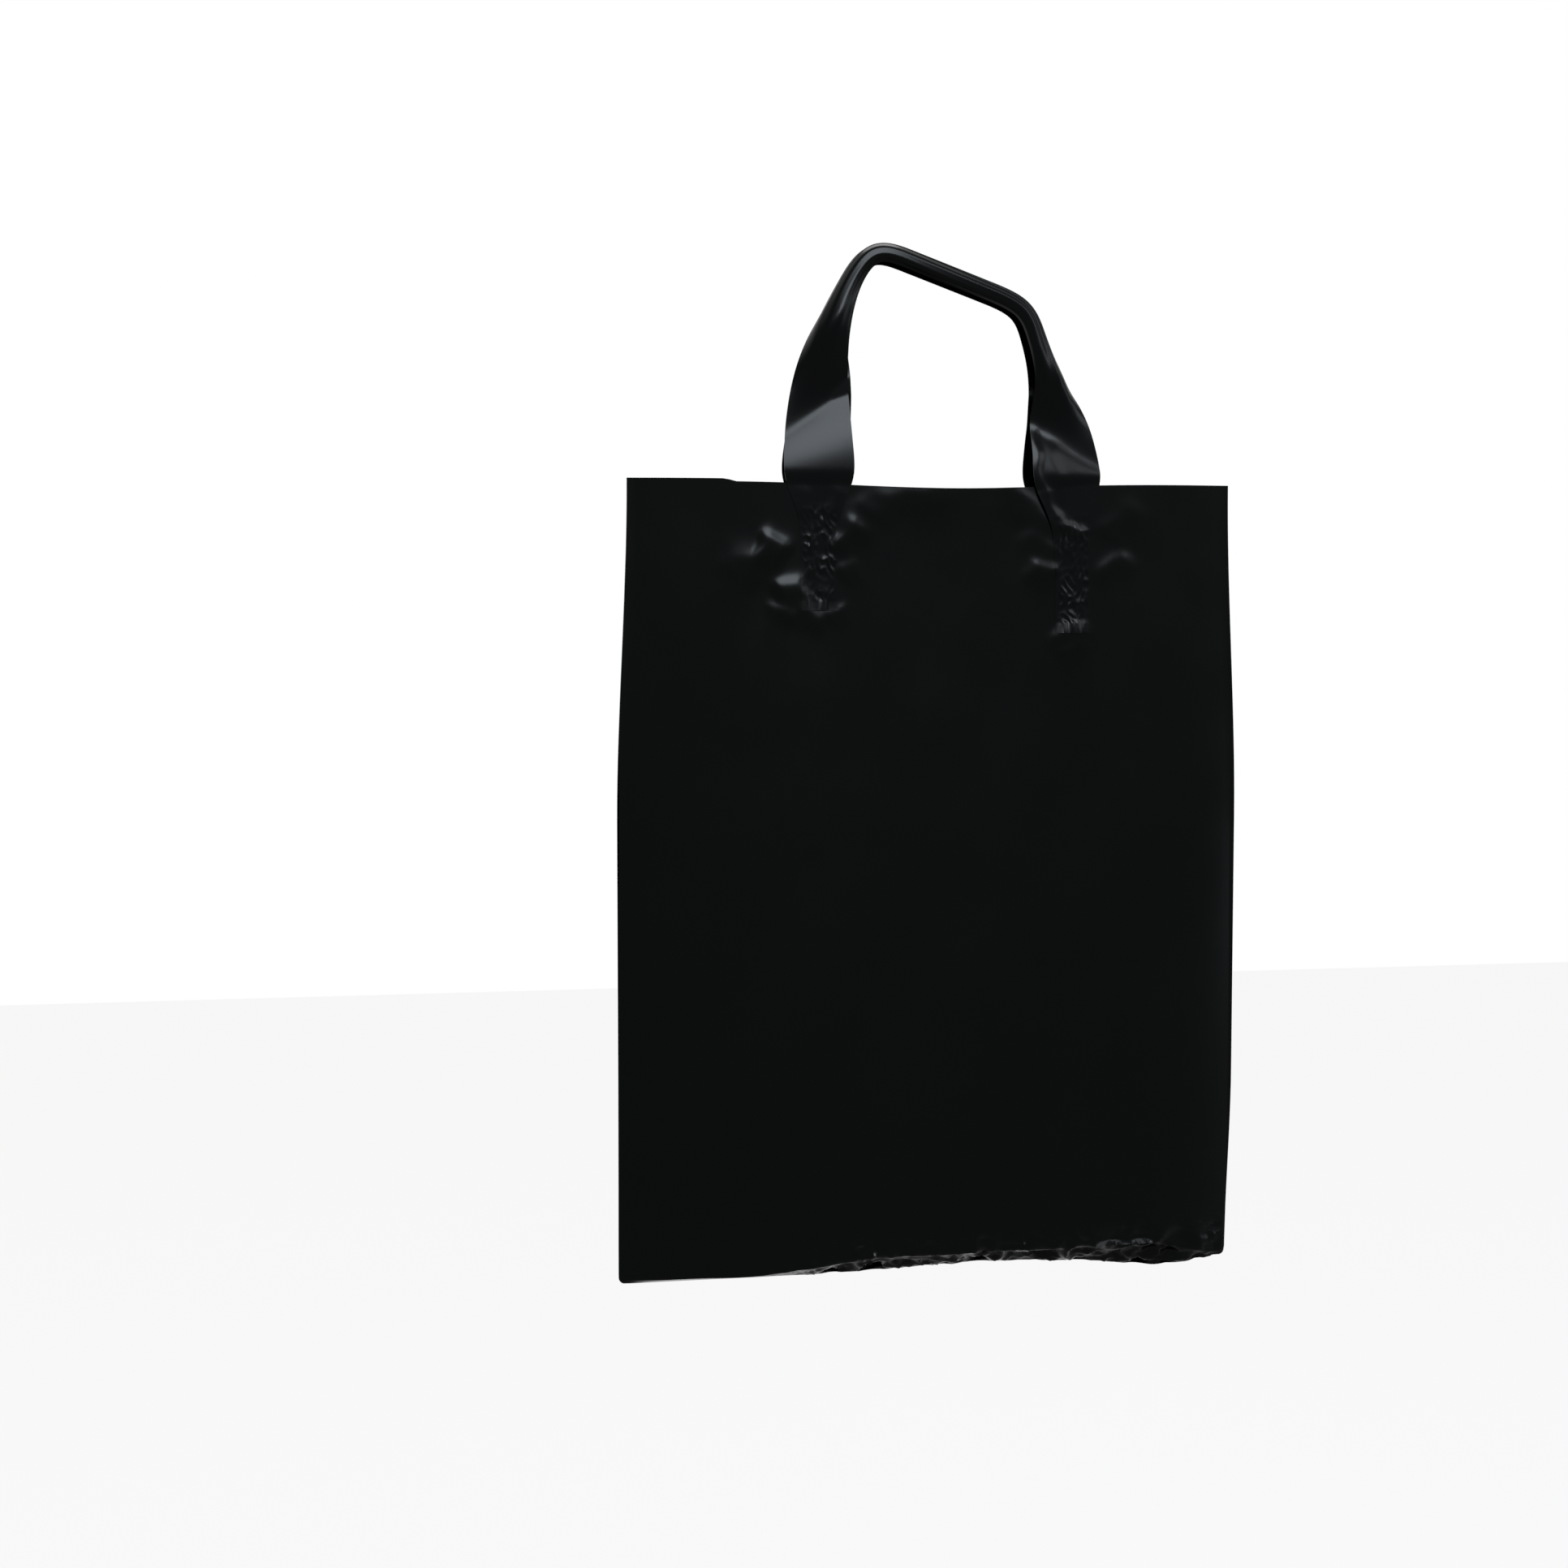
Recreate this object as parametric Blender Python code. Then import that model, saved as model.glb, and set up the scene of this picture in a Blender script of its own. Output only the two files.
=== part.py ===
"""Soft-loop carrier bag of glossy black film, hanging from its two handles.

Metres, +Z up, +Y to the back. The origin is the middle of the gathered grip, between
the two handle loops, where a hand or a hook holds the bag.
"""

import math

import bpy
from mathutils import Vector

# Film bag, with x measured from its middle and z up from its mouth.
BAG_TOP_WIDTH = 0.2468
BAG_BODY_WIDTH = 0.2554
SHOULDER_DEPTH = 0.135
BAG_HEIGHT = 0.3185
FOOT_SWAY = -0.0012
FOOT_NARROWING = 0.0020
FOOT_START = 0.240
FILM = 0.00012
HEM_DEPTH = 0.032
HEM_STEP = 0.0004
SEAM_WIDTH = 0.0020
SEAM_HALF_DEPTH = 0.00045
CAVITY_INSET = 0.0045
MOUTH_DIP = 0.0026
MOUTH_DIP_REACH = 0.055
MOUTH_HALF_DEPTH = 0.0062
BELLY_HALF_DEPTH = 0.0130
BELLY_DEPTH_AT = 0.270
SIDE_FULLNESS = 4.5

# Bottom: a fold from seam to seam, under a crease along each panel.
CREASE_LIFT = 0.0088
LOW_CREASE_LIFT = 0.0030
LIFT_START_X = -0.085
LIFT_REACH = 0.075
CREASE_CORNER_LIFT = 0.0015
CORNER_REACH = 0.037
FOLD_SETTLE = 0.020
RISE_X = 0.022
RISE_HEIGHT = 0.0021
RISE_REACH = 0.040
SAG_X = 0.098
SAG_HEIGHT = -0.0030
SAG_REACH = 0.018

# Soft-loop handles, each a strip welded to the outside of its panel.
STRAP_WIDTH = 0.0272
STRAP_THICKNESS = 0.0003
STRAP_CLEARANCE = 0.0008
LIFT_OFF_HEIGHT = 0.014
LEFT_WELD_X = -0.0480
RIGHT_WELD_X = 0.0560
LEFT_WELD_TOP = -0.0120
RIGHT_WELD_TOP = -0.0170
LEFT_WELD_LENGTH = 0.0390
RIGHT_WELD_LENGTH = 0.0430
WELD_WIDTH = 0.0150
WELD_PLEATS = 3
WELD_RIDGE = 0.00022
FLARE_RIDGE = 0.0007
MOUTH_STRAP_WIDTH = 0.0300
REAR_LEFT_SHIFT = 0.0035
REAR_RIGHT_SHIFT = 0.0010
LEFT_LEG_X = -0.0480
RIGHT_LEG_X = 0.0535
LEFT_TURN_X = -0.0260
RIGHT_TURN_X = 0.0365
LEFT_TURN_Z = 0.0925
RIGHT_TURN_Z = 0.0700
LEFT_LEAN = 3.2
RIGHT_LEAN = 1.6
LEFT_ROLL_END = 0.82
RIGHT_ROLL_END = 0.70
ROLL_RATE = 1.3
ROLL_WIDTH = 0.0160
ROLL_CURL = 118.0
CURL_RATE = 1.8
ROLL_TWIST = 48.0
TWIST_RATE = 0.9
ROLL_SQUASH = 0.80
ROLL_GAP = 0.0015

# Puckers that the welds draw into the panels.
PUCKER_HEIGHT = 0.0011
PUCKER_COUNT = 7
PUCKER_RING = 1.75
PUCKER_SPREAD = 0.62

# Mesh fineness.
COARSE_COLUMN = 0.0135
FINE_COLUMN = 0.0048
FINE_REACH = 0.021
COARSE_ROW = 0.026
FINE_ROW = 0.0056
BOTTOM_ROW = 0.007
BOTTOM_ROWS = 3
LEG_STEPS = 6
WELD_STEPS = 2
GRIP_STEPS = 4
STRIP_COLUMNS = 10

GRIP_X = (LEFT_TURN_X + RIGHT_TURN_X) / 2
GRIP_Z = (LEFT_TURN_Z + RIGHT_TURN_Z) / 2
ORIGIN = Vector((GRIP_X, 0.0, GRIP_Z))


def clear_scene():
    for obj in list(bpy.data.objects):
        bpy.data.objects.remove(obj, do_unlink=True)


def smooth(value):
    """Rises from 0 to 1 with level ends as value goes from 0 to 1."""
    t = min(max(value, 0.0), 1.0)
    return t * t * (3.0 - 2.0 * t)


def mix(low, high, share):
    return low + (high - low) * share


def swell(x, middle, height, reach):
    """A smooth bump of this height, centred at middle."""
    return height * math.exp(-(((x - middle) / reach) ** 2))


def film_material(name, roughness, tint):
    """Black polyethylene film: dark base, clear gloss."""
    material = bpy.data.materials.new(name)
    material.use_nodes = True
    shader = material.node_tree.nodes["Principled BSDF"]
    shader.inputs["Base Color"].default_value = (*tint, 1.0)
    shader.inputs["Roughness"].default_value = roughness
    shader.inputs["Metallic"].default_value = 0.0
    return material


def add_solid(name, points, faces, material, collection):
    mesh = bpy.data.meshes.new(name)
    mesh.from_pydata([Vector(p) - ORIGIN for p in points], [], faces)
    mesh.update()
    mesh.materials.append(material)
    mesh.shade_smooth()
    mesh.set_sharp_from_angle(angle=math.radians(50))
    obj = bpy.data.objects.new(name, mesh)
    collection.objects.link(obj)
    return obj


def foot_share(depth):
    """How far down the bag's foot this depth lies, from 0 to 1."""
    return smooth((depth - FOOT_START) / (BAG_HEIGHT - FOOT_START))


def half_width(depth):
    """Half the bag's width at this depth under the mouth."""
    width = mix(BAG_TOP_WIDTH, BAG_BODY_WIDTH, smooth(depth / SHOULDER_DEPTH))
    return (width - FOOT_NARROWING * foot_share(depth)) / 2


def panel_x(column_x, depth):
    """x of a column at this depth: the foot is narrower and swings to one side."""
    return column_x * half_width(depth) * 2 / BAG_BODY_WIDTH + FOOT_SWAY * foot_share(depth)


def mouth_height(x):
    """The mouth sags a little between the handles."""
    return swell(x, GRIP_X, -MOUTH_DIP, MOUTH_DIP_REACH)


def crease_height(x):
    """Height of the crease where a panel turns under."""
    inside = BAG_BODY_WIDTH / 2 - abs(x)
    open_lift = mix(LOW_CREASE_LIFT, CREASE_LIFT, smooth((x - LIFT_START_X) / LIFT_REACH))
    lift = mix(CREASE_CORNER_LIFT, open_lift, smooth(inside / CORNER_REACH))
    return lift - BAG_HEIGHT


def fold_height(x):
    """Height of the bottom fold: straight when empty, here a little wavy."""
    inside = BAG_BODY_WIDTH / 2 - abs(x)
    waves = swell(x, RISE_X, RISE_HEIGHT, RISE_REACH) + swell(x, SAG_X, SAG_HEIGHT, SAG_REACH)
    return waves * smooth(inside / FOLD_SETTLE) - BAG_HEIGHT


def welds():
    """Middle and half height of the two welds of a handle."""
    for x, top, length in (
        (LEFT_WELD_X, LEFT_WELD_TOP, LEFT_WELD_LENGTH),
        (RIGHT_WELD_X, RIGHT_WELD_TOP, RIGHT_WELD_LENGTH),
    ):
        yield x, top - length / 2, length / 2


def pucker(x, z):
    """Radial folds in a ring round each weld."""
    height = 0.0
    for middle_x, middle_z, half_height in welds():
        across = (x - middle_x) / (WELD_WIDTH / 2)
        along = (z - middle_z) / half_height
        ring = swell(math.hypot(across, along), PUCKER_RING, PUCKER_HEIGHT, PUCKER_SPREAD)
        height += ring * math.cos(PUCKER_COUNT * math.atan2(along, across))
    return height


def half_depth(x, z):
    """Distance of a panel's outer face from the bag's middle plane."""
    depth = -z
    across = min(abs(x) / half_width(depth), 1.0)
    middle = mix(MOUTH_HALF_DEPTH, BELLY_HALF_DEPTH, smooth(depth / BELLY_DEPTH_AT))
    face = middle * (1.0 - across**SIDE_FULLNESS)
    return max(face + pucker(x, z), SEAM_HALF_DEPTH)


def spaced(low, high, step):
    """Evenly spaced values from low, up to but not with high."""
    count = max(1, round((high - low) / step))
    return [mix(low, high, i / count) for i in range(count)]


def column_places():
    """x of each column of the hollow, from side to side: closer together at the welds."""
    edge = BAG_BODY_WIDTH / 2 - CAVITY_INSET
    stops = [-edge]
    for middle in (LEFT_WELD_X, RIGHT_WELD_X):
        stops += [middle - FINE_REACH, middle + FINE_REACH]
    stops += [edge]
    steps = (COARSE_COLUMN, FINE_COLUMN, COARSE_COLUMN, FINE_COLUMN, COARSE_COLUMN)
    places = []
    for low, high, step in zip(stops, stops[1:], steps):
        places += spaced(low, high, step)
    return places + [edge]


def row_shares():
    """Depth of each panel row as a share of the panel's height, and its number of plies."""
    fine_end = RIGHT_WELD_LENGTH - RIGHT_WELD_TOP + FINE_REACH
    bottom_start = BAG_HEIGHT - BOTTOM_ROWS * BOTTOM_ROW
    hem = spaced(0.0, HEM_DEPTH, FINE_ROW) + [HEM_DEPTH]
    rest = spaced(HEM_DEPTH + HEM_STEP, fine_end, FINE_ROW)
    rest += spaced(fine_end, bottom_start, COARSE_ROW)
    rest += spaced(bottom_start, BAG_HEIGHT, BOTTOM_ROW) + [BAG_HEIGHT]
    return [(d / BAG_HEIGHT, 2) for d in hem] + [(d / BAG_HEIGHT, 1) for d in rest]


def outer_bottom(x):
    """Crease and fold of the outer skin: (crease y, crease z, fold z)."""
    crease = crease_height(x)
    return -half_depth(x, crease), crease, fold_height(x)


def inner_bottom(x):
    """The same for the inner skin, one film thickness inside."""
    front, crease, fold = outer_bottom(x)
    spread, drop = -front, crease - fold
    length = math.hypot(spread, drop)
    along = FILM * (length - drop) / spread
    inner_crease = crease + (FILM * spread - along * drop) / length
    return front + FILM, inner_crease, fold + FILM * length / spread


def section(column_x, inner):
    """One cut across the bag, from the front rim, round the bottom, to the back rim."""
    top = mouth_height(column_x)
    crease_y, bottom, fold = (inner_bottom if inner else outer_bottom)(column_x)
    half = []
    for share, plies in row_shares():
        z = mix(top, bottom, share)
        x = panel_x(column_x, -z)
        wall = FILM * plies if inner else 0.0
        half.append((x, wall - half_depth(x, z), z))
    foot_x = panel_x(column_x, BAG_HEIGHT)
    half[-1] = (foot_x, crease_y, bottom)
    for step in range(1, BOTTOM_ROWS):
        share = step / BOTTOM_ROWS
        half.append((foot_x, crease_y * (1.0 - share), mix(bottom, fold, share)))
    return half + [(foot_x, 0.0, fold)] + [(x, -y, z) for x, y, z in reversed(half)]


def skin_faces(first, columns, count, outward):
    """Triangles of one skin, whose columns of count points start at index first."""
    faces = []
    for i in range(columns - 1):
        for j in range(count - 1):
            a = first + i * count + j
            b, c, d = a + 1, a + count + 1, a + count
            for corners in ((a, b, c), (a, c, d)):
                faces.append(corners if outward else corners[::-1])
    return faces


def film_bag(material, collection):
    """One film, folded at the bottom and welded down both sides, open at the mouth."""
    edge = BAG_BODY_WIDTH / 2
    inner_x = column_places()
    outer_x = [-edge, SEAM_WIDTH - edge] + inner_x + [edge - SEAM_WIDTH, edge]
    outer = [section(x, False) for x in outer_x]
    inner = [section(x, True) for x in inner_x]
    count = len(outer[0])
    rim = count - 1
    start = len(outer) * count
    seam = (len(outer) - len(inner)) // 2
    last, end = len(outer) - 1, len(inner) - 1

    def outside(column, row):
        return column * count + row

    def inside(column, row):
        return start + column * count + row

    faces = skin_faces(0, len(outer), count, True)
    faces += skin_faces(start, len(inner), count, False)
    for i in range(end):
        o = i + seam
        faces.append((outside(o, 0), outside(o + 1, 0), inside(i + 1, 0), inside(i, 0)))
        faces.append((outside(o, rim), inside(i, rim), inside(i + 1, rim), outside(o + 1, rim)))
    faces.append([outside(0, j) for j in reversed(range(count))])
    faces.append([outside(last, j) for j in range(count)])
    faces.append([inside(0, j) for j in range(count)])
    faces.append([inside(end, j) for j in reversed(range(count))])
    near = [outside(i, 0) for i in range(seam + 1)]
    far = [outside(i, rim) for i in reversed(range(seam + 1))]
    faces.append(near + [inside(0, 0), inside(0, rim)] + far)
    near = [outside(i, 0) for i in range(last - seam, last + 1)]
    far = [outside(i, rim) for i in reversed(range(last - seam, last + 1))]
    faces.append(near + far + [inside(end, rim), inside(end, 0)])
    points = [point for cut in outer + inner for point in cut]
    return add_solid("bag_body", points, faces, material, collection)


def leg_controls(leg_x, turn_x, turn_z, lean, roll_end):
    """Route of one leg from the mouth up to its turn: (x, z, share of the roll, width)."""
    points = [(leg_x, 0.0, 0.0, MOUTH_STRAP_WIDTH)]
    for i in range(1, LEG_STEPS + 1):
        rise = i / LEG_STEPS
        roll = min(rise / roll_end, 1.0) ** ROLL_RATE
        x = mix(leg_x, turn_x, rise**lean)
        points.append((x, turn_z * rise, roll, mix(STRAP_WIDTH, ROLL_WIDTH, roll**2)))
    return points


def weld_controls(weld_x, top, length):
    """Route of one weld from its foot up."""
    points = []
    for i in range(WELD_STEPS + 1):
        points.append((weld_x, top - length * (1.0 - i / WELD_STEPS), 0.0, WELD_WIDTH))
    return points


def handle_controls(left_shift, right_shift):
    """Control points of a whole handle, from the left weld's foot to the right one's.

    Each leg stands its own shift to the right."""
    left = weld_controls(LEFT_WELD_X + left_shift, LEFT_WELD_TOP, LEFT_WELD_LENGTH)
    left_x = LEFT_LEG_X + left_shift
    left += leg_controls(left_x, LEFT_TURN_X, LEFT_TURN_Z, LEFT_LEAN, LEFT_ROLL_END)
    right = weld_controls(RIGHT_WELD_X + right_shift, RIGHT_WELD_TOP, RIGHT_WELD_LENGTH)
    right_x = RIGHT_LEG_X + right_shift
    right += leg_controls(right_x, RIGHT_TURN_X, RIGHT_TURN_Z, RIGHT_LEAN, RIGHT_ROLL_END)
    grip = []
    for i in range(1, GRIP_STEPS):
        share = i / GRIP_STEPS
        x = mix(LEFT_TURN_X, RIGHT_TURN_X, share)
        grip.append((x, mix(LEFT_TURN_Z, RIGHT_TURN_Z, share), 1.0, ROLL_WIDTH))
    return left + grip + right[::-1]


def smooth_route(controls):
    """Points of the uniform cubic B-spline at its knots and half way between them."""
    padded = [controls[0]] + controls + [controls[-1]]
    route = [controls[0]]
    for i in range(1, len(controls)):
        before, here, after, ahead = padded[i - 1 : i + 3]
        if i > 1:
            route.append(tuple((p + 4 * q + r) / 6 for p, q, r in zip(before, here, after)))
        half = zip(before, here, after, ahead)
        route.append(tuple((p + 23 * q + 23 * r + o) / 48 for p, q, r, o in half))
    return route + [controls[-1]]


def rolled_profile(roll, width):
    """The strip's cross-section, flat at the mouth and rolled at the grip: (across, back)."""
    twist = math.radians(ROLL_TWIST) * roll**TWIST_RATE
    curl = math.radians(ROLL_CURL) * roll**CURL_RATE
    step = width / STRIP_COLUMNS
    across = back = 0.0
    points = [(across, back)]
    for j in range(STRIP_COLUMNS):
        angle = twist + curl * ((2 * j + 1) / STRIP_COLUMNS - 1.0)
        across += step * math.cos(angle)
        back += step * math.sin(angle)
        points.append((across, back))
    mid_across = (min(p[0] for p in points) + max(p[0] for p in points)) / 2
    rear = max(p[1] for p in points)
    squash = mix(1.0, ROLL_SQUASH, roll)
    return [(a - mid_across, (b - rear) * squash) for a, b in points]


def strip_section(place, heading, side):
    """Points across the strip at one place on its route, from inner to outer edge."""
    x, z, roll, width = place
    along = Vector(heading).normalized()
    outward = Vector((-along.y, along.x))
    profile = rolled_profile(roll, width)
    shallow = -min(back for _, back in profile)
    bow = MOUTH_HALF_DEPTH + STRAP_CLEARANCE + STRAP_THICKNESS / 2
    rear = max(mix(bow, 0.0, roll) - shallow, ROLL_GAP / 2 + STRAP_THICKNESS / 2)
    free = smooth((z - mouth_height(x)) / LIFT_OFF_HEIGHT)
    flare = smooth((width - WELD_WIDTH) / (STRAP_WIDTH - WELD_WIDTH) * 2.0)
    ridge_height = mix(WELD_RIDGE, FLARE_RIDGE, flare) * (1.0 - free)
    strip = []
    for j, (across, back) in enumerate(profile):
        turn = 2.0 * math.pi * WELD_PLEATS * j / STRIP_COLUMNS
        ridge = ridge_height * (1.0 - math.cos(turn)) / 2
        px, pz = x + outward.x * across, z + outward.y * across
        resting = half_depth(px, min(pz, mouth_height(px))) + ridge + bow - MOUTH_HALF_DEPTH
        strip.append(Vector((px, side * mix(-resting, back - rear, free), pz)))
    return strip


def handle(name, side, shifts, material, collection):
    """Soft loop: side is 1 for the strip on the front panel and -1 for the rear one."""
    route = smooth_route(handle_controls(*shifts))
    rows = []
    for i, place in enumerate(route):
        before, after = route[max(i - 1, 0)], route[min(i + 1, len(route) - 1)]
        rows.append(strip_section(place, (after[0] - before[0], after[1] - before[1]), side))
    count = STRIP_COLUMNS + 1
    last = len(rows) - 1
    front, rear = [], []
    for i, row in enumerate(rows):
        for j, point in enumerate(row):
            down = rows[min(i + 1, last)][j] - rows[max(i - 1, 0)][j]
            over = row[min(j + 1, count - 1)] - row[max(j - 1, 0)]
            normal = over.cross(down).normalized() * STRAP_THICKNESS / 2
            front.append(point - normal)
            rear.append(point + normal)
    under = len(front)
    faces = skin_faces(0, len(rows), count, False)
    faces += skin_faces(under, len(rows), count, True)
    for i in range(last):
        for j, turned in ((0, True), (count - 1, False)):
            a, b = i * count + j, (i + 1) * count + j
            edge = (a, b, b + under, a + under)
            faces.append(edge[::-1] if turned else edge)
    for i, turned in ((0, False), (last, True)):
        for j in range(count - 1):
            a = i * count + j
            end = (a, a + 1, a + 1 + under, a + under)
            faces.append(end[::-1] if turned else end)
    return add_solid(name, front + rear, faces, material, collection)


clear_scene()
bag = bpy.data.collections.new("carrier_bag")
bpy.context.scene.collection.children.link(bag)
film = film_material("black_film", 0.22, (0.006, 0.007, 0.008))
strap = film_material("strap_film", 0.18, (0.007, 0.008, 0.010))
film_bag(film, bag)
handle("front_handle", 1, (0.0, 0.0), strap, bag)
handle("rear_handle", -1, (REAR_LEFT_SHIFT, REAR_RIGHT_SHIFT), strap, bag)
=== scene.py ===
import math

import bpy
import numpy as np
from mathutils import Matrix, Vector, noise


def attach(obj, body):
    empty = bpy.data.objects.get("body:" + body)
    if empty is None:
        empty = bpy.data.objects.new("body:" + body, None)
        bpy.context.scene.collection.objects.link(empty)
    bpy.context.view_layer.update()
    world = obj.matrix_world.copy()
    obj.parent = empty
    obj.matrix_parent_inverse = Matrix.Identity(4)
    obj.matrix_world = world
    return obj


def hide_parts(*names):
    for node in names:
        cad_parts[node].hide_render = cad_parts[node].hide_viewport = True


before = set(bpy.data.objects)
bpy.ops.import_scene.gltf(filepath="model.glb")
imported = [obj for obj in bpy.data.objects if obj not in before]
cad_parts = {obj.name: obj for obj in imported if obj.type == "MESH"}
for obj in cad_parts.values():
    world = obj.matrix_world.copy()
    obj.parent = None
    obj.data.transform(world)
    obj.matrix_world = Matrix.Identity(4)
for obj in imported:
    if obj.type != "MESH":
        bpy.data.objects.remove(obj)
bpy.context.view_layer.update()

# Bag film: x from the bag's middle, z up from its mouth, +y to the back, in metres.
BAG_TOP_WIDTH = 0.2468
BAG_BODY_WIDTH = 0.2554
SHOULDER_DEPTH = 0.135
BAG_HEIGHT = 0.3185
FOOT_SWAY = -0.0012
FOOT_NARROWING = 0.0020
FOOT_START = 0.240
FILM = 0.00012
HEM_DEPTH = 0.032
SEAM_WIDTH = 0.0020
SEAM_HALF_DEPTH = 0.00045
CAVITY_INSET = 0.0045
MOUTH_DIP = 0.0022
MOUTH_DIP_REACH = 0.055
MOUTH_DROP = 0.0003
LEFT_STEP_HEIGHT = 0.0011
LEFT_STEP_X = -0.0885
LEFT_STEP_REACH = 0.005
MOUTH_HALF_DEPTH = 0.0062
BELLY_HALF_DEPTH = 0.0130
BELLY_DEPTH_AT = 0.270
SIDE_FULLNESS = 4.5

# Foot: the bottom crease, the fold under it, and how the film draws in above it.
CORNER_RADIUS = 0.0025
CREASE_LIFT = 0.0088
LOW_CREASE_LIFT = 0.0030
LIFT_START_X = -0.085
LIFT_REACH = 0.075
CREASE_CORNER_LIFT = 0.0015
CORNER_REACH = 0.037
FOLD_SETTLE = 0.020
RISE = (0.022, 0.0021, 0.040)
SAG = (0.098, -0.0030, 0.018)
UNDER_CURL = 0.0013
CURL_RISE = 0.014
OPEN_START = -0.085
OPEN_REACH = 0.060

# Crumpled bottom band: each layer of creases is (scale, stretch, seed, height).
BAND_TOP = 0.0215
BAND_FADE = 0.013
BAND_START_X = -0.090
BAND_SPREAD = 0.07
BAND_EDGE_FADE = 0.004
CRUMPLES = ((95.0, 1.5, 3.1, 0.0018), (210.0, 1.8, 5.3, 0.0017), (430.0, 1.5, 9.7, 0.00070))
CRUMPLE_LEVEL = 0.6
CRUMPLE_DEPTH_SCALE = 0.4

# Mesh steps of the bag film: the finest are around the welds and at the foot.
FINE_COLUMN = 0.00102
MIDDLE_COLUMN = FINE_COLUMN * 1.6
LEFT_COLUMN = 0.0028
RIGHT_COLUMN = 0.0016
FINE_REACH = 0.030
FINE_ROW = 0.00105
COARSE_ROW = 0.0080
FOOT_ROW = FINE_ROW * 1.4
FINE_TOP = 0.072
FINE_BOTTOM = 0.030
BOTTOM_ROWS = 14
SEAM_SHARES = (0.0, 0.03, 0.12, 0.3, 0.6, 1.0)
INNER_FOLD_LIFT = FILM * 1.6
SHARP_ANGLE = 70

# Straps: widths, welds and routes, with the rear strap a little to the side of the front one.
STRAP_WIDTH = 0.0272
MOUTH_STRAP_WIDTH = 0.0300
STRAP_THICKNESS = 0.00018
WELD_THICKNESS = 0.00008
STRAP_CLEARANCE = 0.00006
REAR_LEFT_SHIFT = 0.0015
REAR_RIGHT_SHIFT = -0.0005
LEFT_WELD_X = -0.0480
RIGHT_WELD_X = 0.0560
LEFT_WELD_TOP = -0.0120
RIGHT_WELD_TOP = -0.0170
LEFT_WELD_LENGTH = 0.0390
RIGHT_WELD_LENGTH = 0.0430
WELD_WIDTH = 0.0150
FLARE_RATE = 2.0
LEFT_LEG_X = -0.0480
RIGHT_LEG_X = 0.0535
LEFT_TURN_X = -0.0260
RIGHT_TURN_X = 0.0365
LEFT_TURN_Z = 0.0925
RIGHT_TURN_Z = 0.0700
LEFT_LEAN = 3.2
RIGHT_LEAN = 1.6

# Roll of a strap towards the grip: angles in degrees.
LEFT_ROLL_END = 0.82
RIGHT_ROLL_END = 0.70
ROLL_RATE = 1.3
ROLL_WIDTH = 0.0160
ROLL_CURL = 118.0
CURL_RATE = 1.8
ROLL_TWIST = 48.0
TWIST_RATE = 0.9
ROLL_SQUASH = 0.80
ROLL_GAP = 0.0010
DRAW_IN_START = 0.15
DRAW_IN_SPAN = 0.6

# Each leg leans back up to a slanting crease: its height at the strap's inner and outer edge.
LEFT_CREASE = (0.0355, 0.0165)
RIGHT_CREASE = (0.021, 0.004)
LEAN_START = -0.003
LEAN_ANGLE = 20.0
LEG_STAND_OFF = 0.0008
SETTLE_BACK = 0.0012
SETTLE_HEIGHT = 0.003
TURN_REACH = 0.038
LIFT_OFF_START = -0.002
LIFT_OFF_REACH = 0.007

# Pleats of the rolled strap: (height, rate across, phase, rate along).
PLEATS = ((0.00030, 15.0, 2.0, 13.0), (0.00020, 27.0, 0.0, 29.0))

# Weld crinkles: (strength, rate along x, rate along z, seed).
WELD_BEND = (0.0009, 150.0, 190.0, 1.0)
WELD_STREAKS = (0.00052, 400.0, 230.0, 4.0)
WELD_GRAIN = (0.00012, 700.0, 420.0, 8.0)
WELD_PATCHES = (0.9, 120.0, 110.0, 2.0)
PATCH_LEVEL = 0.55
PATCH_LEAST = 0.2
WELD_EDGE_FADE = 0.18

# Steps of a strap's route and of its mesh.
LEG_STEPS = 6
WELD_STEPS = 2
GRIP_STEPS = 4
STRIP_COLUMNS = 44
LEG_FINE = 14
WELD_FINE = 44
WELD_ROUTE_TOP = 0.002

GRIP_X = (LEFT_TURN_X + RIGHT_TURN_X) / 2
GRIP_Z = (LEFT_TURN_Z + RIGHT_TURN_Z) / 2
ORIGIN = Vector((GRIP_X, 0.0, GRIP_Z))

# Creases drawn by the welds into both panels:
# (start x, start z, end x, end z, height, half width), in millimetres.
PUCKERS = (
    (-71.0, -22.5, -61.0, -27.5, 1.25, 4.4),
    (-84.0, -29.0, -71.0, -33.5, 0.85, 6.2),
    (-65.5, -43.5, -54.0, -40.5, 1.35, 4.4),
    (-68.0, -50.0, -59.0, -52.0, 0.60, 2.8),
    (-57.0, -50.0, -46.0, -55.0, 0.90, 2.6),
    (-45.0, -52.5, -37.0, -50.0, 0.50, 2.4),
    (-32.0, -15.0, -42.0, -26.0, 1.00, 3.0),
    (-33.0, -32.0, -40.0, -36.0, 0.50, 3.0),
    (2.0, -3.5, -28.0, -7.0, 0.75, 4.4),
    (-28.0, -7.0, -38.0, -17.0, 0.55, 4.2),
    (30.0, -1.0, 46.0, -17.0, 0.90, 3.6),
    (38.0, -32.0, 49.0, -36.5, 0.95, 2.8),
    (36.0, -20.0, 48.0, -27.0, 0.50, 3.2),
    (80.0, -29.0, 66.0, -35.0, 0.70, 3.2),
    (47.0, -62.0, 61.0, -56.0, 0.85, 2.6),
    (50.0, -69.0, 60.0, -63.0, 0.50, 2.6),
    (82.0, -8.0, 68.0, -20.0, 0.40, 4.0),
)
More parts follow.
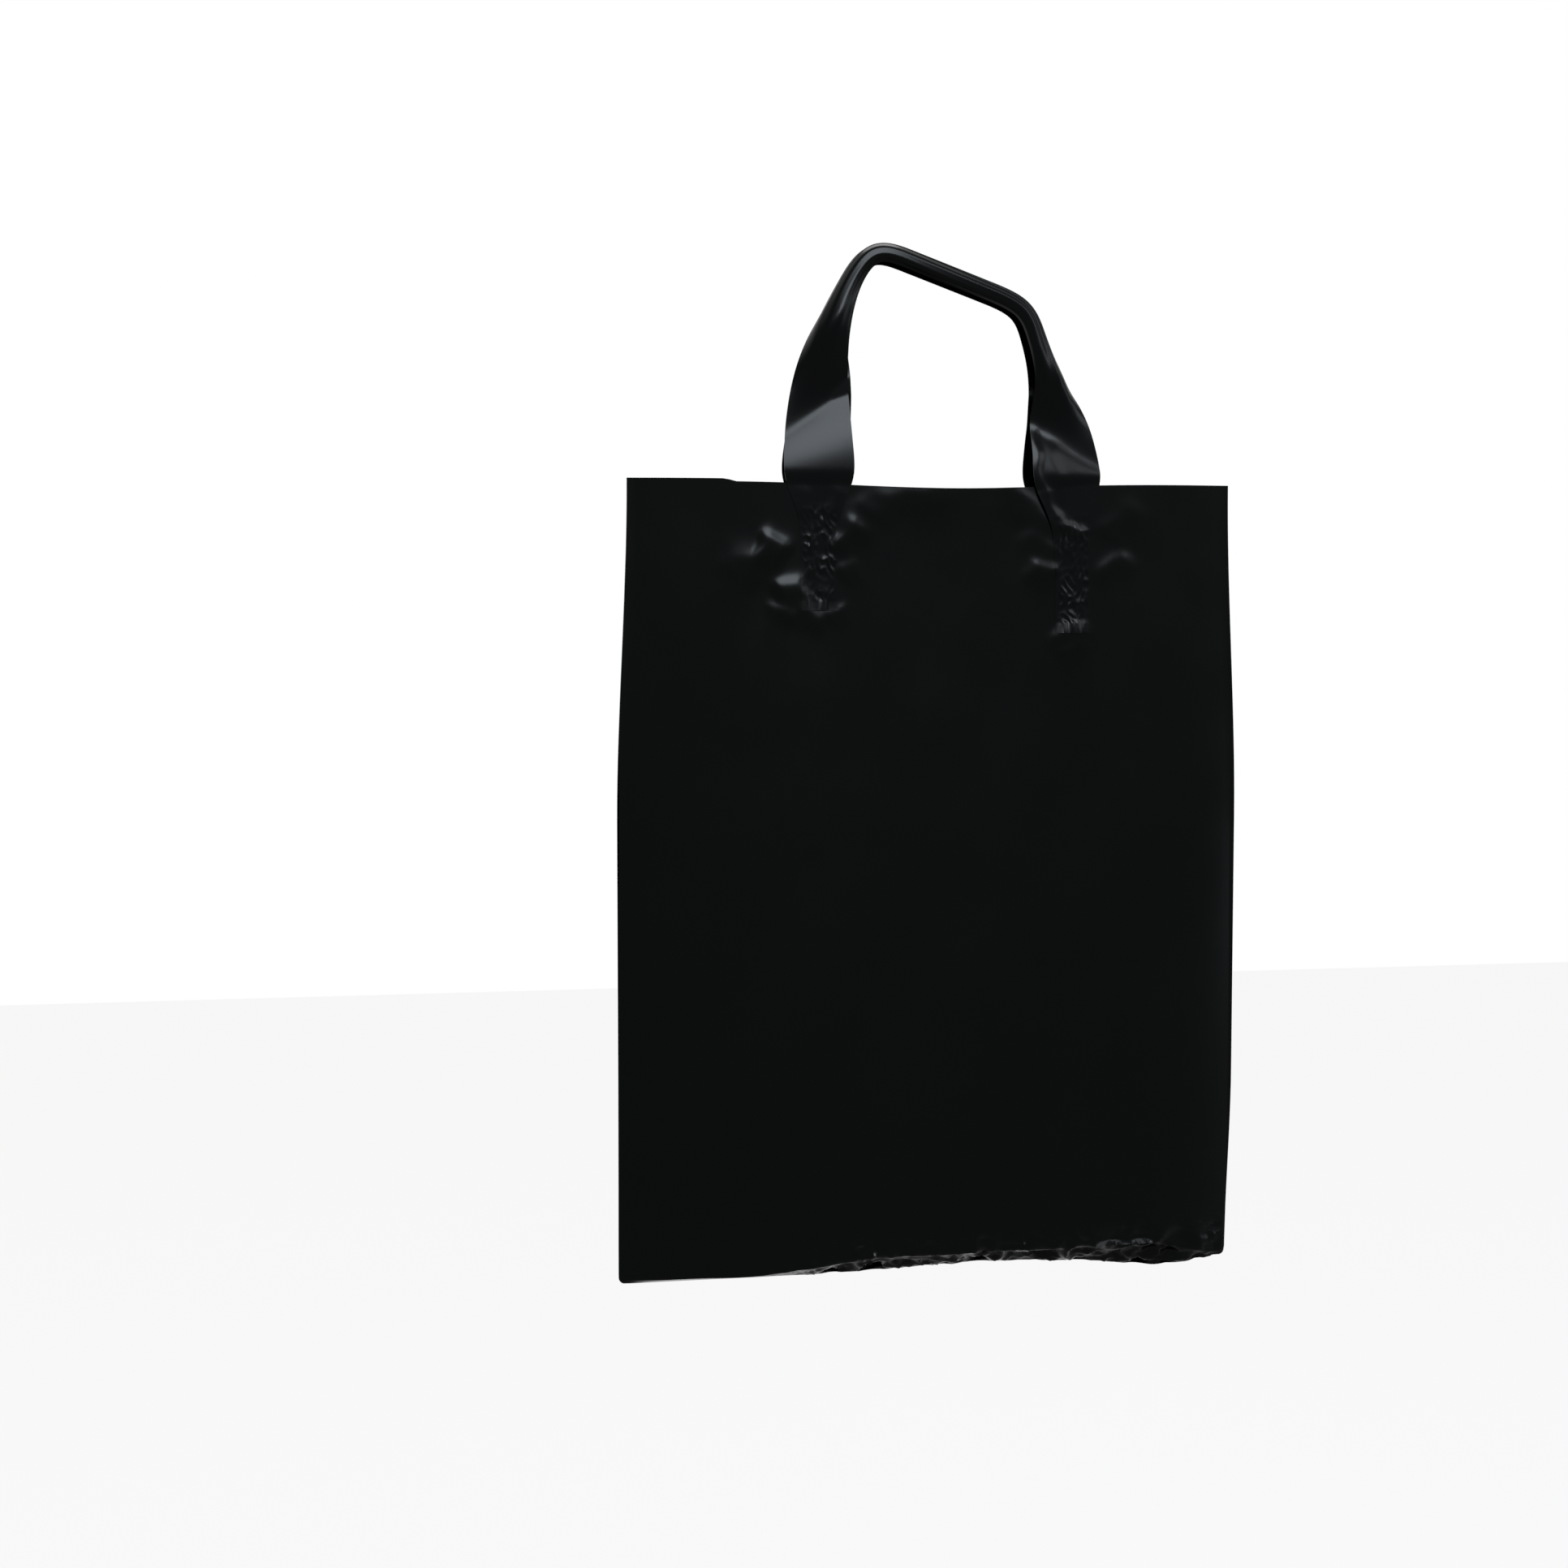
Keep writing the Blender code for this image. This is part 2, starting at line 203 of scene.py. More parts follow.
# Folds of the front strap, drawn like the puckers.
STRAP_FOLDS = (
    (40.6, 22.0, 41.0, 1.0, 0.45, 1.7),
    (41.8, -1.0, 50.3, -16.0, 0.95, 2.8),
    (49.5, -17.0, 61.5, -19.5, 0.70, 1.8),
    (45.5, 19.0, 49.0, -6.0, 0.55, 4.5),
    (-55.0, -2.0, -51.0, -13.0, 0.25, 2.4),
    (-40.0, -2.0, -44.0, -13.0, 0.25, 2.4),
)
MILLIMETRE = 0.001
SOFT_SIDE = 2.1
RIDGE_FADE = 0.5
PUCKER_EDGE_FADE = 0.008
# Wobble of a crease's line: (size, rate, rate of its phase).
X_WOBBLE = (0.0006, 520.0, 900.0)
Z_WOBBLE = (0.0005, 430.0, 700.0)

# Film material
BAG_TINT = (0.0003, 0.0008, 0.0007)
STRAP_TINT = (0.0003, 0.0006, 0.0007)
FILM_SPECULAR = 0.18
BAG_ROUGHNESS = (0.21, 0.27)
STRAP_ROUGHNESS = (0.22, 0.27)
BAG_BUMP = 0.00005
STRAP_BUMP = 0.00004
MOTTLE_SCALE = 26.0
MOTTLE_RANGE = (0.3, 0.7)
SHEET_SCALE = 130.0
SHEET_STRETCH = (1.0, 1.0, 0.35)
SHEET_STRENGTH = 0.6
GRAIN_SCALE = 900.0
GRAIN_STRENGTH = 0.5
GRAIN_SHARE = 0.12

# Studio: grey before and below the bag, which its film reflects, and white behind it.
WHITE = (1.0, 1.0, 1.0)
FLOOR_PAINT = (0.82, 0.82, 0.82)
FLOOR_GREY = (0.27, 0.27, 0.27)
FLOOR_GREY_TO_Y = 0.1
FLOOR_WHITE_FROM_Y = 1.0
FLOOR_GLOW = 0.90
FLOOR_ROUGHNESS = 0.9
FLOOR_SPECULAR = 0.1
FLOOR_PLACE = (0.0, -0.5, -0.95)
FLOOR_SIZE = 10.0
WORLD_GREY = (0.26, 0.27, 0.27)
WORLD_GREY_TO_Y = -0.25
WORLD_WHITE_FROM_Y = 0.35
AMBIENT = (0.30, 0.30, 0.30)

# Lamps: (name, place, target, size, power, colour).
LAMPS = (
    ("key", (0.08, -1.25, 0.80), (0.0, 0.0, -0.05), (0.85, 0.75), 20.5, (0.84, 0.92, 1.0)),
    ("right", (1.0, -1.0, 0.55), (0.0, 0.0, -0.05), (0.7, 0.6), 4.0, (0.90, 0.95, 1.0)),
    ("side", (1.5, -0.6, 0.1), (0.0, 0.0, -0.2), (0.4, 1.0), 2.0, (0.80, 0.90, 1.0)),
    ("top", (0.0, 0.6, 1.3), (0.0, 0.0, -0.1), (1.2, 0.6), 9.0, (1.0, 1.0, 1.0)),
)

# Camera: its place is in bag coordinates, fitted to the bag's outline, with angles in radians.
CAMERA_PLACE = (-0.2563361, -1.0185448, -0.0484794)
CAMERA_YAW = -0.1896
CAMERA_PITCH = -0.0687
CAMERA_LENS = 60.0
CAMERA_SENSOR = 36.0


def smooth(value):
    t = np.clip(value, 0.0, 1.0)
    return t * t * (3.0 - 2.0 * t)


def mix(low, high, share):
    return low + (high - low) * share


def swell(x, middle, height, reach):
    return height * np.exp(-(((x - middle) / reach) ** 2))


def foot_share(depth):
    return smooth((depth - FOOT_START) / (BAG_HEIGHT - FOOT_START))


def half_width(depth):
    width = mix(BAG_TOP_WIDTH, BAG_BODY_WIDTH, smooth(depth / SHOULDER_DEPTH))
    return (width - FOOT_NARROWING * foot_share(depth)) / 2


def panel_x(column_x, depth):
    return column_x * half_width(depth) * 2 / BAG_BODY_WIDTH + FOOT_SWAY * foot_share(depth)


def from_edge(x):
    return BAG_BODY_WIDTH / 2 - np.abs(x)


def mouth_height(x):
    sag = swell(x, GRIP_X, -MOUTH_DIP, MOUTH_DIP_REACH)
    left_step = LEFT_STEP_HEIGHT * (1.0 - smooth((x - LEFT_STEP_X) / LEFT_STEP_REACH))
    return sag + left_step - MOUTH_DROP


def corner_lift(x):
    """How far the two bottom corners are rounded up."""
    short = np.clip(1.0 - from_edge(x) / CORNER_RADIUS, 0.0, 1.0)
    return CORNER_RADIUS * (1.0 - np.sqrt(1.0 - short * short))


def crease_height(x):
    """Where the panels end and the film turns under."""
    open_lift = mix(LOW_CREASE_LIFT, CREASE_LIFT, smooth((x - LIFT_START_X) / LIFT_REACH))
    lift = mix(CREASE_CORNER_LIFT, open_lift, smooth(from_edge(x) / CORNER_REACH))
    return lift + corner_lift(x) - BAG_HEIGHT


def fold_height(x):
    """Where the two panels meet in the bottom fold."""
    wave = (swell(x, *RISE) + swell(x, *SAG)) * smooth(from_edge(x) / FOLD_SETTLE)
    return wave + corner_lift(x) - BAG_HEIGHT


def wobble(place, phase, size, rate, phase_rate):
    return size * np.sin(place * rate + phase * phase_rate)


def ridge(x, z, crease):
    """A rounded crease along a line that fades at both ends: its lower side is the gentler."""
    x0, z0, x1, z1, height, reach = (value * MILLIMETRE for value in crease)
    x = x + wobble(z, x0, *X_WOBBLE)
    z = z + wobble(x, z0, *Z_WOBBLE)
    length = math.hypot(x1 - x0, z1 - z0)
    ux, uz = (x1 - x0) / length, (z1 - z0) / length
    along = ((x - x0) * ux + (z - z0) * uz) / length
    above = ((x - x0) * -uz + (z - z0) * ux) * math.copysign(1.0, ux)
    span = np.where(above > 0.0, reach, reach * SOFT_SIDE)
    starts = smooth((along + RIDGE_FADE / 2) / RIDGE_FADE)
    ends = smooth((1.0 + RIDGE_FADE / 2 - along) / RIDGE_FADE)
    return height * (starts * ends) * np.exp(-((above / span) ** 2))


def puckers(x, z):
    return sum(ridge(x, z, crease) for crease in PUCKERS)


def under_curl(x, depth):
    """How far the film draws in just above the bottom crease."""
    opened = smooth((x - OPEN_START) / OPEN_REACH)
    share = np.clip((depth - BAG_HEIGHT + CREASE_LIFT + CURL_RISE) / CURL_RISE, 0.0, 1.0)
    return UNDER_CURL * opened * share * share


def half_depth(x, z):
    """Distance of either panel's outer face from the middle plane."""
    depth = -z
    across = np.minimum(np.abs(x) / half_width(depth), 1.0)
    middle = mix(MOUTH_HALF_DEPTH, BELLY_HALF_DEPTH, smooth(depth / BELLY_DEPTH_AT))
    face = (middle - under_curl(x, depth)) * (1.0 - across**SIDE_FULLNESS)
    fade = smooth((half_width(depth) - np.abs(x)) / PUCKER_EDGE_FADE)
    return np.maximum(face + puckers(x, z) * fade, SEAM_HALF_DEPTH)


def crumple(points, scale, stretch, seed):
    """Sharp random creases like those of stiff film: one value of at most 1 for each point."""
    out = np.empty(len(points))
    for i, (x, y, z) in enumerate(points):
        place = Vector((x * scale / stretch, y * scale, z * scale)) + Vector((seed, 0, 0))
        out[i] = 1.0 - abs(noise.noise(place) * 2.0)
    return out


def spaced(low, high, step):
    count = max(1, round((high - low) / step))
    return [mix(low, high, i / count) for i in range(count)]


def add_piece(name, points, faces, material, nodes):
    mesh = bpy.data.meshes.new(name)
    mesh.from_pydata([Vector(p) - ORIGIN for p in points], [], faces)
    mesh.update()
    mesh.materials.append(material)
    mesh.shade_smooth()
    mesh.set_sharp_from_angle(angle=math.radians(SHARP_ANGLE))
    obj = bpy.data.objects.new(name, mesh)
    bpy.context.scene.collection.objects.link(obj)
    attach(obj, "root")
    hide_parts(*nodes)
    return obj


def quads(first, columns, count, flip):
    """Faces over a grid of points that starts at number first: count points to a column."""
    faces = []
    for i in range(columns - 1):
        for j in range(count - 1):
            a = first + i * count + j
            corners = (a, a + 1, a + count + 1, a + count)
            faces.append(corners[::-1] if flip else corners)
    return faces


# Bag body
def column_places():
    edge = BAG_BODY_WIDTH / 2 - CAVITY_INSET
    stops = [-edge, LEFT_WELD_X - FINE_REACH, LEFT_WELD_X + FINE_REACH]
    stops += [RIGHT_WELD_X - FINE_REACH, RIGHT_WELD_X + FINE_REACH, edge]
    steps = (LEFT_COLUMN, FINE_COLUMN, MIDDLE_COLUMN, FINE_COLUMN, RIGHT_COLUMN)
    places = []
    for low, high, step in zip(stops, stops[1:], steps):
        places += spaced(low, high, step)
    return np.array(places + [edge])


def row_depths():
    rows = spaced(0.0, FINE_TOP, FINE_ROW)
    rows += spaced(FINE_TOP, BAG_HEIGHT - FINE_BOTTOM, COARSE_ROW)
    rows += spaced(BAG_HEIGHT - FINE_BOTTOM, BAG_HEIGHT, FOOT_ROW)
    return np.array(rows + [BAG_HEIGHT])


def bottom_creases(x, y, z, edge_fade):
    """How far the film stands out over the crumpled bottom band."""
    rise = z + BAG_HEIGHT
    low = smooth((BAND_TOP - rise) / BAND_FADE)
    band = low * smooth((x - BAND_START_X) / BAND_SPREAD) * edge_fade
    points = np.stack([x, y * CRUMPLE_DEPTH_SCALE, z], axis=1)
    lumps = 0.0
    for scale, stretch, seed, height in CRUMPLES:
        lumps = lumps + height * (crumple(points, scale, stretch, seed) - CRUMPLE_LEVEL)
    return band * lumps


def panel_points(column_x, rows):
    """Points of one panel column, from the rim down to the fold: arrays x, y, z."""
    bottom = crease_height(column_x)
    z = mix(mouth_height(column_x), bottom, rows / BAG_HEIGHT)
    x = panel_x(column_x, -z)
    y = half_depth(x, z)
    turn = np.arange(1, BOTTOM_ROWS + 1) / BOTTOM_ROWS
    foot_x = panel_x(column_x, BAG_HEIGHT)
    x = np.concatenate([x, np.full(BOTTOM_ROWS, foot_x)])
    z = np.concatenate([z, mix(bottom, fold_height(column_x), turn)])
    y = np.concatenate([y, y[-1] * (1.0 - turn)])
    return x, y, z


def skin_cut(column_x, rows, inner):
    """Points round one column, from the front rim by the bottom fold to the back rim."""
    x, y, z = panel_points(column_x, rows)
    fade = float(smooth(from_edge(column_x) / BAND_EDGE_FADE))
    lift = bottom_creases(x, -y, z, fade)
    lift_back = bottom_creases(-x, y, z, fade)
    wall = fold_lift = 0.0
    if inner:
        hem_rows = int((rows <= HEM_DEPTH).sum())
        wall = FILM * np.where(np.arange(len(x)) < hem_rows, 2.0, 1.0)
        fold_lift = INNER_FOLD_LIFT
    front_y = -(y + lift - wall)
    back_y = y + lift_back - wall
    front_y[-1] = back_y[-1] = 0.0
    under = np.clip((np.arange(len(x)) - len(rows)) / BOTTOM_ROWS, 0.0, 1.0)
    belly = np.sin(under * math.pi)
    raised = z + np.where(under > 0.0, fold_lift, 0.0)
    front = np.stack([x, front_y, raised - lift * belly], axis=1)
    back = np.stack([x, back_y, raised - lift_back * belly], axis=1)
    return np.concatenate([front, back[:-1][::-1]])


def build_body(material):
    edge = BAG_BODY_WIDTH / 2
    inner_x = column_places()
    seam_x = edge - np.array(SEAM_SHARES) * SEAM_WIDTH
    outer_x = np.concatenate([-seam_x, inner_x, seam_x[::-1]])
    rows = row_depths()
    outer = [skin_cut(column_x, rows, False) for column_x in outer_x]
    inner = [skin_cut(column_x, rows, True) for column_x in inner_x]
    count = len(outer[0])
    rim = count - 1
    start = len(outer) * count
    seam = len(SEAM_SHARES)
    last, end = len(outer) - 1, len(inner) - 1
    faces = quads(0, len(outer), count, False)
    faces += quads(start, len(inner), count, True)
    for i in range(end):
        o = (i + seam) * count
        n = start + i * count
        faces.append((o, o + count, n + count, n))
        faces.append((o + rim, n + rim, n + count + rim, o + count + rim))
    faces.append([j for j in reversed(range(count))])
    faces.append([last * count + j for j in range(count)])
    faces.append([start + j for j in range(count)])
    faces.append([start + end * count + j for j in reversed(range(count))])
    near = [i * count for i in range(seam + 1)]
    far = [i * count + rim for i in reversed(range(seam + 1))]
    faces.append(near + [start, start + rim] + far)
    near = [i * count for i in range(last - seam, last + 1)]
    far = [i * count + rim for i in reversed(range(last - seam, last + 1))]
    faces.append(near + far + [start + end * count + rim, start + end * count])
    points = np.concatenate(outer + inner)
    return add_piece("bag_film", points, faces, material, ["bag_body"])


# Handles
def leg_controls(leg_x, turn_x, turn_z, lean, roll_end):
    points = [(leg_x, 0.0, 0.0, MOUTH_STRAP_WIDTH)]
    for i in range(1, LEG_STEPS + 1):
        rise = i / LEG_STEPS
        roll = min(rise / roll_end, 1.0) ** ROLL_RATE
        x = mix(leg_x, turn_x, rise**lean)
        points.append((x, turn_z * rise, roll, mix(STRAP_WIDTH, ROLL_WIDTH, roll**2)))
    return points


def weld_controls(weld_x, top, length):
    points = []
    for i in range(WELD_STEPS + 1):
        points.append((weld_x, top - length * (1.0 - i / WELD_STEPS), 0.0, WELD_WIDTH))
    return points


def handle_controls(left_shift, right_shift):
    """Control points of a strap's route, from weld to weld: (x, z, roll, width)."""
    left = weld_controls(LEFT_WELD_X + left_shift, LEFT_WELD_TOP, LEFT_WELD_LENGTH)
    left_x = LEFT_LEG_X + left_shift
    left += leg_controls(left_x, LEFT_TURN_X, LEFT_TURN_Z, LEFT_LEAN, LEFT_ROLL_END)
    right = weld_controls(RIGHT_WELD_X + right_shift, RIGHT_WELD_TOP, RIGHT_WELD_LENGTH)
    right_x = RIGHT_LEG_X + right_shift
    right += leg_controls(right_x, RIGHT_TURN_X, RIGHT_TURN_Z, RIGHT_LEAN, RIGHT_ROLL_END)
    grip = []
    for i in range(1, GRIP_STEPS):
        share = i / GRIP_STEPS
        x = mix(LEFT_TURN_X, RIGHT_TURN_X, share)
        grip.append((x, mix(LEFT_TURN_Z, RIGHT_TURN_Z, share), 1.0, ROLL_WIDTH))
    return left + grip + right[::-1]


def spline_point(quad, t):
    """Uniform cubic B-spline through four control points."""
    weights = (
        (1 - t) ** 3 / 6,
        (3 * t**3 - 6 * t**2 + 4) / 6,
        (-3 * t**3 + 3 * t**2 + 3 * t + 1) / 6,
        t**3 / 6,
    )
    return tuple(sum(w * p[k] for w, p in zip(weights, quad)) for k in range(4))


def smooth_route(controls):
    """A finely stepped route: the welds are the finest."""
    padded = [controls[0]] + controls + [controls[-1]]
    route = [controls[0]]
    for i in range(1, len(controls)):
        quad = padded[i - 1 : i + 3]
        on_weld = max(quad[1][1], quad[2][1]) < WELD_ROUTE_TOP
        steps = WELD_FINE if on_weld else LEG_FINE
        for k in range(steps):
            if i > 1 or k > 0:
                route.append(spline_point(quad, k / steps))
    return route + [controls[-1]]


def rolled_profile(roll, width):
    """The strap's cross-section as points (across, back), its rearmost point at back 0."""
    twist = math.radians(ROLL_TWIST) * roll**TWIST_RATE
    curl = math.radians(ROLL_CURL) * roll**CURL_RATE
    step = width / STRIP_COLUMNS
    across = back = 0.0
    points = [(across, back)]
    for j in range(STRIP_COLUMNS):
        angle = twist + curl * ((2 * j + 1) / STRIP_COLUMNS - 1.0)
        across += step * math.cos(angle)
        back += step * math.sin(angle)
        points.append((across, back))
    mid_across = (min(p[0] for p in points) + max(p[0] for p in points)) / 2
    rear = max(p[1] for p in points)
    squash = mix(1.0, ROLL_SQUASH, roll)
    return [(a - mid_across, (b - rear) * squash) for a, b in points]


def flare_of(width):
    """0 along a weld, 1 where the strip has opened most of the way."""
    return float(smooth((width - WELD_WIDTH) / (STRAP_WIDTH - WELD_WIDTH) * FLARE_RATE))


def strip_gauge(width):
    """Thickness of the strip: it is melted thin along a weld."""
    return mix(WELD_THICKNESS, STRAP_THICKNESS, flare_of(width))


def weld_noise(x, z, layer):
    _, x_rate, z_rate, seed = layer
    return noise.noise(Vector((x * x_rate, z * z_rate, seed)))


def weld_texture(x, z, share, flare):
    """Crinkles of a weld, which thin out where the strip widens above it."""
    bend = WELD_BEND[0] * weld_noise(x, z, WELD_BEND)
    streaks = 1.0 - abs(weld_noise(x + bend, z, WELD_STREAKS) * 2.0)
    grain = weld_noise(x, z, WELD_GRAIN)
    patch = PATCH_LEVEL + WELD_PATCHES[0] * weld_noise(x, z, WELD_PATCHES)
    crinkle = (WELD_STREAKS[0] * streaks + WELD_GRAIN[0] * grain) * max(patch, PATCH_LEAST)
    edge = float(smooth(min(share, 1.0 - share) / WELD_EDGE_FADE))
    return crinkle * edge * (1.0 - flare)


def lean_back(z, top):
    """How far back the strap lies here: its tilt grows up to a crease at this height."""
    length = top - LEAN_START
    rise = min(max((z - LEAN_START) / length, 0.0), 1.0)
    over = max(z - top, 0.0)
    steep = math.tan(math.radians(LEAN_ANGLE))
    back = length * steep * rise**2 / 2
    return back + SETTLE_BACK * (1.0 - math.exp(-over / SETTLE_HEIGHT))


def pleat_height(roll, share, arc):
    """How far the gathered film stands out at this place across and along the strap."""
    total = 0.0
    for height, across_rate, phase, along_rate in PLEATS:
        total += height * roll**4 * math.cos(across_rate * share + phase + along_rate * arc)
    return total


def strip_section(place, heading, side, arc):
    """Middle line of the strap across its route: side is 1 for the front and -1 for the rear."""
    x, z, roll, width = place
    along = Vector(heading).normalized()
    outward = Vector((-along.y, along.x))
    proud = STRAP_CLEARANCE + strip_gauge(width) / 2
    bow = MOUTH_HALF_DEPTH + proud + LEG_STAND_OFF
    free = float(smooth((z - LIFT_OFF_START) / LIFT_OFF_REACH))
    flare = flare_of(width)
    crease = LEFT_CREASE if x < GRIP_X else RIGHT_CREASE
    least = ROLL_GAP / 2 + STRAP_THICKNESS / 2
    drawn_in = smooth((roll - DRAW_IN_START) / DRAW_IN_SPAN)
    strip = []
    for j, (across, back) in enumerate(rolled_profile(roll, width)):
        share = j / STRIP_COLUMNS
        px, pz = x + outward.x * across, z + outward.y * across
        low = min(pz, float(mouth_height(px)))
        ridges = weld_texture(px, pz, share, flare) * (1.0 - free)
        folds = sum(float(ridge(px, pz, fold)) for fold in STRAP_FOLDS) * (side > 0)
        resting = float(half_depth(px, low)) + ridges + proud
        crease_z = mix(*crease, share)
        hang = mix(bow - lean_back(pz, crease_z), least, drawn_in)
        turned = back * float(smooth((pz - crease_z) / TURN_REACH))
        rear = max(hang - turned + pleat_height(roll, share, arc), least)
        strip.append(Vector((px, -side * (mix(resting, rear, free) + folds), pz)))
    return strip


def build_handle(name, side, shifts, material, node):
    route = smooth_route(handle_controls(*shifts))
    rows = []
    for i, place in enumerate(route):
        before, after = route[max(i - 1, 0)], route[min(i + 1, len(route) - 1)]
        heading = (after[0] - before[0], after[1] - before[1])
        rows.append(strip_section(place, heading, side, i / len(route)))
    count = STRIP_COLUMNS + 1
    last = len(rows) - 1
    front, rear = [], []
    for i, row in enumerate(rows):
        for j, point in enumerate(row):
            down = rows[min(i + 1, last)][j] - rows[max(i - 1, 0)][j]
            over = row[min(j + 1, count - 1)] - row[max(j - 1, 0)]
            normal = over.cross(down).normalized() * strip_gauge(route[i][3]) / 2
            front.append(point - normal)
            rear.append(point + normal)
    under = len(front)
    faces = quads(0, len(rows), count, True)
    faces += quads(under, len(rows), count, False)
    for i in range(last):
        for j, turned in ((0, True), (count - 1, False)):
            a, b = i * count + j, (i + 1) * count + j
            edge = (a, b, b + under, a + under)
            faces.append(edge[::-1] if turned else edge)
    for i, turned in ((0, False), (last, True)):
        for j in range(count - 1):
            a = i * count + j
            end = (a, a + 1, a + 1 + under, a + under)
            faces.append(end[::-1] if turned else end)
    return add_piece(name, front + rear, faces, material, [node])


# Materials
def noise_texture(tree, vector, scale, detail):
    texture = tree.nodes.new("ShaderNodeTexNoise")
    texture.inputs["Scale"].default_value = scale
    texture.inputs["Detail"].default_value = detail
    tree.links.new(vector, texture.inputs["Vector"])
    return texture.outputs["Fac"]


def bump(tree, height, strength, distance):
    node = tree.nodes.new("ShaderNodeBump")
    node.inputs["Strength"].default_value = strength
    node.inputs["Distance"].default_value = distance
    tree.links.new(height, node.inputs["Height"])
    return node


def map_range(tree, value, source, target=(0.0, 1.0)):
    node = tree.nodes.new("ShaderNodeMapRange")
    node.inputs["From Min"].default_value, node.inputs["From Max"].default_value = source
    node.inputs["To Min"].default_value, node.inputs["To Max"].default_value = target
    tree.links.new(value, node.inputs["Value"])
    return node


def mix_colours(tree, factor, low, high):
    """Colour output between low and high: each is a colour or another node's output."""
    node = tree.nodes.new("ShaderNodeMix")
    node.data_type = "RGBA"
    tree.links.new(factor, node.inputs["Factor"])
    for name, colour in (("A", low), ("B", high)):
        if isinstance(colour, tuple):
            node.inputs[name].default_value = (*colour, 1.0)
        else:
            tree.links.new(colour, node.inputs[name])
    return node.outputs["Result"]


def film_material(name, tint, roughness, bump_height):
    material = bpy.data.materials.new(name)
    material.use_nodes = True
    tree = material.node_tree
    nodes, links = tree.nodes, tree.links
    shader = nodes["Principled BSDF"]
    shader.inputs["Base Color"].default_value = (*tint, 1.0)
    shader.inputs["Specular IOR Level"].default_value = FILM_SPECULAR
    place = nodes.new("ShaderNodeTexCoord").outputs["Object"]
    mottle = noise_texture(tree, place, MOTTLE_SCALE, 3.0)
    rough = map_range(tree, mottle, MOTTLE_RANGE, roughness)
    links.new(rough.outputs["Result"], shader.inputs["Roughness"])
    grain = noise_texture(tree, place, GRAIN_SCALE, 4.0)
    stretch = nodes.new("ShaderNodeMapping")
    stretch.inputs["Scale"].default_value = SHEET_STRETCH
    links.new(place, stretch.inputs["Vector"])
    sheet = noise_texture(tree, stretch.outputs["Vector"], SHEET_SCALE, 2.0)
    fine_bump = bump(tree, grain, GRAIN_STRENGTH, bump_height * GRAIN_SHARE)
    broad_bump = bump(tree, sheet, SHEET_STRENGTH, bump_height)
    links.new(fine_bump.outputs["Normal"], broad_bump.inputs["Normal"])
    links.new(broad_bump.outputs["Normal"], shader.inputs["Normal"])
    return material


def background_rays(tree):
    """Factor that is 1 for camera, glossy and transmission rays."""
    path = tree.nodes.new("ShaderNodeLightPath")
    factor = path.outputs["Is Camera Ray"]
    for kind in ("Is Glossy Ray", "Is Transmission Ray"):
        either = tree.nodes.new("ShaderNodeMath")
        either.operation = "MAXIMUM"
        tree.links.new(factor, either.inputs[0])
        tree.links.new(path.outputs[kind], either.inputs[1])
        factor = either.outputs[0]
    return factor


def y_of(tree, vector):
    split = tree.nodes.new("ShaderNodeSeparateXYZ")
    tree.links.new(vector, split.inputs["Vector"])
    return split.outputs["Y"]


def floor_material():
    """Paint that goes from grey in front to white behind, and glows to background rays."""
    material = bpy.data.materials.new("floor_paint")
    material.use_nodes = True
    tree = material.node_tree
    nodes, links = tree.nodes, tree.links
    shader = nodes["Principled BSDF"]
    shader.inputs["Roughness"].default_value = FLOOR_ROUGHNESS
    shader.inputs["Specular IOR Level"].default_value = FLOOR_SPECULAR
    place = nodes.new("ShaderNodeNewGeometry").outputs["Position"]
    depth = map_range(tree, y_of(tree, place), (FLOOR_GREY_TO_Y, FLOOR_WHITE_FROM_Y))
    depth.interpolation_type = "SMOOTHSTEP"
    behind = depth.outputs["Result"]
    paint = mix_colours(tree, behind, FLOOR_GREY, FLOOR_PAINT)
    links.new(paint, shader.inputs["Base Color"])
    glow = nodes.new("ShaderNodeEmission")
    links.new(mix_colours(tree, behind, FLOOR_GREY, WHITE), glow.inputs["Color"])
    share = nodes.new("ShaderNodeMath")
    share.operation = "MULTIPLY"
    share.inputs[1].default_value = FLOOR_GLOW
    links.new(background_rays(tree), share.inputs[0])
    blend = nodes.new("ShaderNodeMixShader")
    links.new(share.outputs[0], blend.inputs["Fac"])
    links.new(shader.outputs["BSDF"], blend.inputs[1])
    links.new(glow.outputs["Emission"], blend.inputs[2])
    links.new(blend.outputs["Shader"], nodes["Material Output"].inputs["Surface"])
    return material


# Studio
def build_floor():
    bpy.ops.mesh.primitive_plane_add(size=1.0, location=FLOOR_PLACE)
    floor = bpy.context.object
    floor.name = "floor"
    floor.scale = (FLOOR_SIZE, FLOOR_SIZE, 1.0)
    floor.data.materials.append(floor_material())


